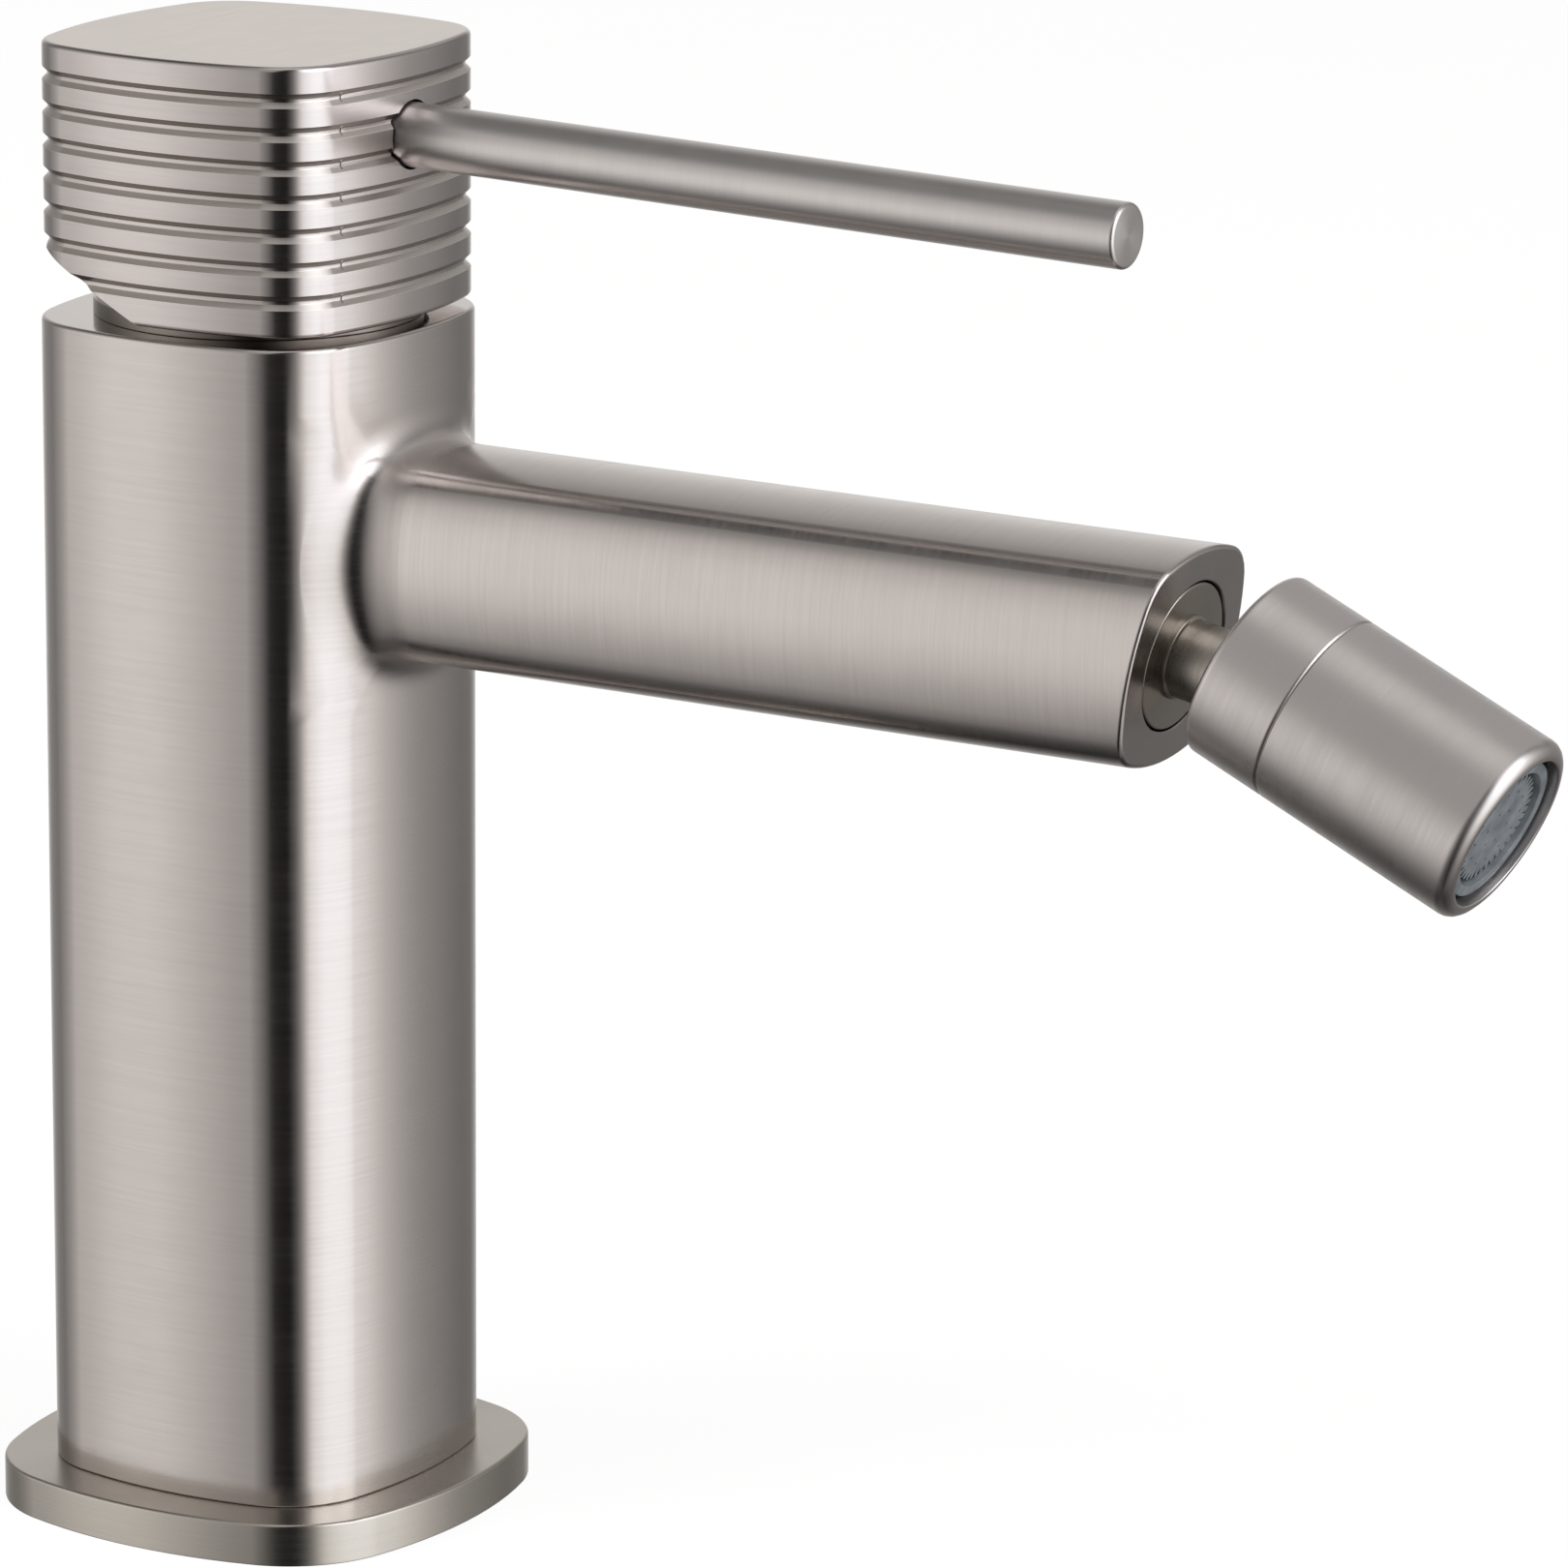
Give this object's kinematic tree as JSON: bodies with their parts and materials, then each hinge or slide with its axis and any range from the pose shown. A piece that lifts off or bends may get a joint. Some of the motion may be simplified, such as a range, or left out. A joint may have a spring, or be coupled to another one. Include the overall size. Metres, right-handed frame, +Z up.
{
  "type": "bidet mixer",
  "caption": "Single-lever bidet mixer for one deck hole: rounded-square column, ribbed handle block with a round rod lever, slanted spout end and a swivelling nozzle.",
  "frame": {"origin": "on the deck, at the centre of the base flange's underside, under the column's axis", "axes": "+Z up along the column, +X along the spout and the lever, -Y towards the user's right hand when the user faces the spout's end"},
  "size_m": [0.1834, 0.0534, 0.1647],
  "materials": {
    "brushed_nickel": "brushed nickel plating on brass",
    "satin_nickel": "satin nickel plating on brass",
    "polished_nickel": "bright nickel plating on brass",
    "plain_brass": "machined",
    "stainless": "machined stainless steel",
    "ceramic": "lapped ceramic",
    "white_plastic": "moulded",
    "red_plastic": "moulded",
    "grey_plastic": "moulded, matt",
    "black_rubber": "moulded"
  },
  "bodies": {
    "column": {"body": "brushed_nickel", "base_flange": "brushed_nickel", "base_gasket": "black_rubber", "flange_o_ring": "black_rubber", "cartridge_base": "white_plastic", "inlet_seals": "black_rubber", "fixed_disc": "ceramic", "cartridge_housing": "white_plastic", "housing_o_ring": "black_rubber", "retaining_nut": "plain_brass", "collar": "polished_nickel", "collar_o_ring": "black_rubber", "ball_stem": "satin_nickel", "stem_seal": "black_rubber"},
    "cartridge_swivel": {"rotor": "white_plastic", "pivot_pin": "stainless", "limiter_ring": "red_plastic"},
    "disc_slider": {"moving_disc": "ceramic", "disc_carrier": "white_plastic"},
    "handle": {"spindle": "stainless", "socket_adapter": "white_plastic", "handle_block": "brushed_nickel", "lever_rod": "satin_nickel", "grub_screw": "stainless"},
    "nozzle_yaw_cup": {"ball_cup": "white_plastic"},
    "nozzle_pitch_ring": {"ball_seat_ring": "white_plastic"},
    "nozzle": {"ball_nut": "satin_nickel", "ball_seal": "black_rubber", "nozzle_housing": "satin_nickel", "aerator_washer": "black_rubber", "aerator_filter": "white_plastic", "flow_regulator": "white_plastic", "aerator_mesh": "stainless", "aerator_cage": "grey_plastic", "outlet_disc": "grey_plastic"}
  },
  "joints": [
    {"name": "temperature_swivel", "type": "hinge", "parent": "column", "child": "cartridge_swivel", "pos_m": [0, 0, 0.1304], "axis": [0, 0, 1], "range_deg": [-45, 45]},
    {"name": "lever_lift", "type": "hinge", "parent": "cartridge_swivel", "child": "handle", "pos_m": [0, 0, 0.1304], "axis": [0, -1, 0], "range_deg": [0, 18]},
    {"name": "disc_slide", "type": "slide", "parent": "cartridge_swivel", "child": "disc_slider", "axis": [1, 0, 0], "range_m": [0, 0.0041]},
    {"name": "nozzle_yaw", "type": "hinge", "parent": "column", "child": "nozzle_yaw_cup", "pos_m": [0.12901, 0, 0.1073], "axis": [0.2011, 0, 0.9796], "range_deg": [-15, 15]},
    {"name": "nozzle_pitch", "type": "hinge", "parent": "nozzle_yaw_cup", "child": "nozzle_pitch_ring", "pos_m": [0.12901, 0, 0.1073], "axis": [0, 1, 0], "range_deg": [-28.2, 1.8]},
    {"name": "nozzle_spin", "type": "hinge", "parent": "nozzle_pitch_ring", "child": "nozzle", "pos_m": [0.12901, 0, 0.1073], "axis": [0.9078, 0, -0.4195], "continuous": true}
  ],
  "couplings": [
    {"joint": "disc_slide", "follows": "lever_lift", "m_per_rad": 0.01295}
  ]
}
